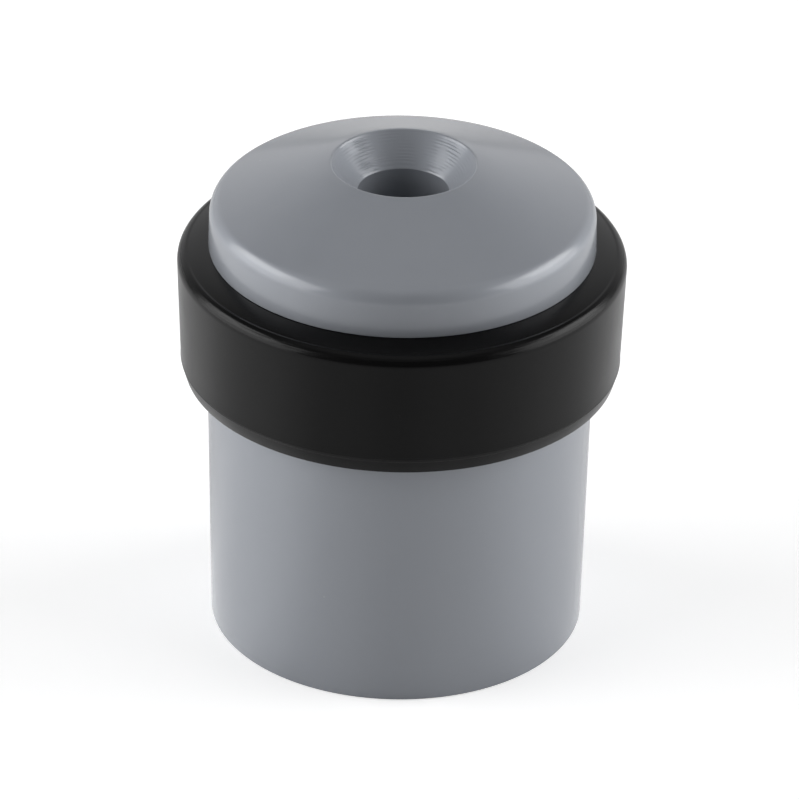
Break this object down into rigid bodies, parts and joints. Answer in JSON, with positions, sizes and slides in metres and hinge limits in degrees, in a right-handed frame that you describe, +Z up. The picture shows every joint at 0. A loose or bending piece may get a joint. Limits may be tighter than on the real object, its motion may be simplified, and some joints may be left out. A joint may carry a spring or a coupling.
{
  "type": "round door stop",
  "caption": "Round floor or wall door stop: lacquered metal post with a countersunk screw hole along its axis and a rubber buffer ring held in a groove under its cap",
  "frame": {"origin": "centre of the base, on the axis, at floor level", "axes": "+Z up along the axis from the base to the cap; X and Y are equivalent, the piece is turned"},
  "size_m": [0.0348, 0.0348, 0.0394],
  "materials": {
    "body": "mid grey lacquer with a satin sheen; bare turned marks under the lacquer in the countersink",
    "rubber_ring": "black moulded rubber, dull sheen"
  },
  "bodies": {
    "root": {"body": "body", "rubber_ring": "rubber_ring"}
  },
  "joints": []
}
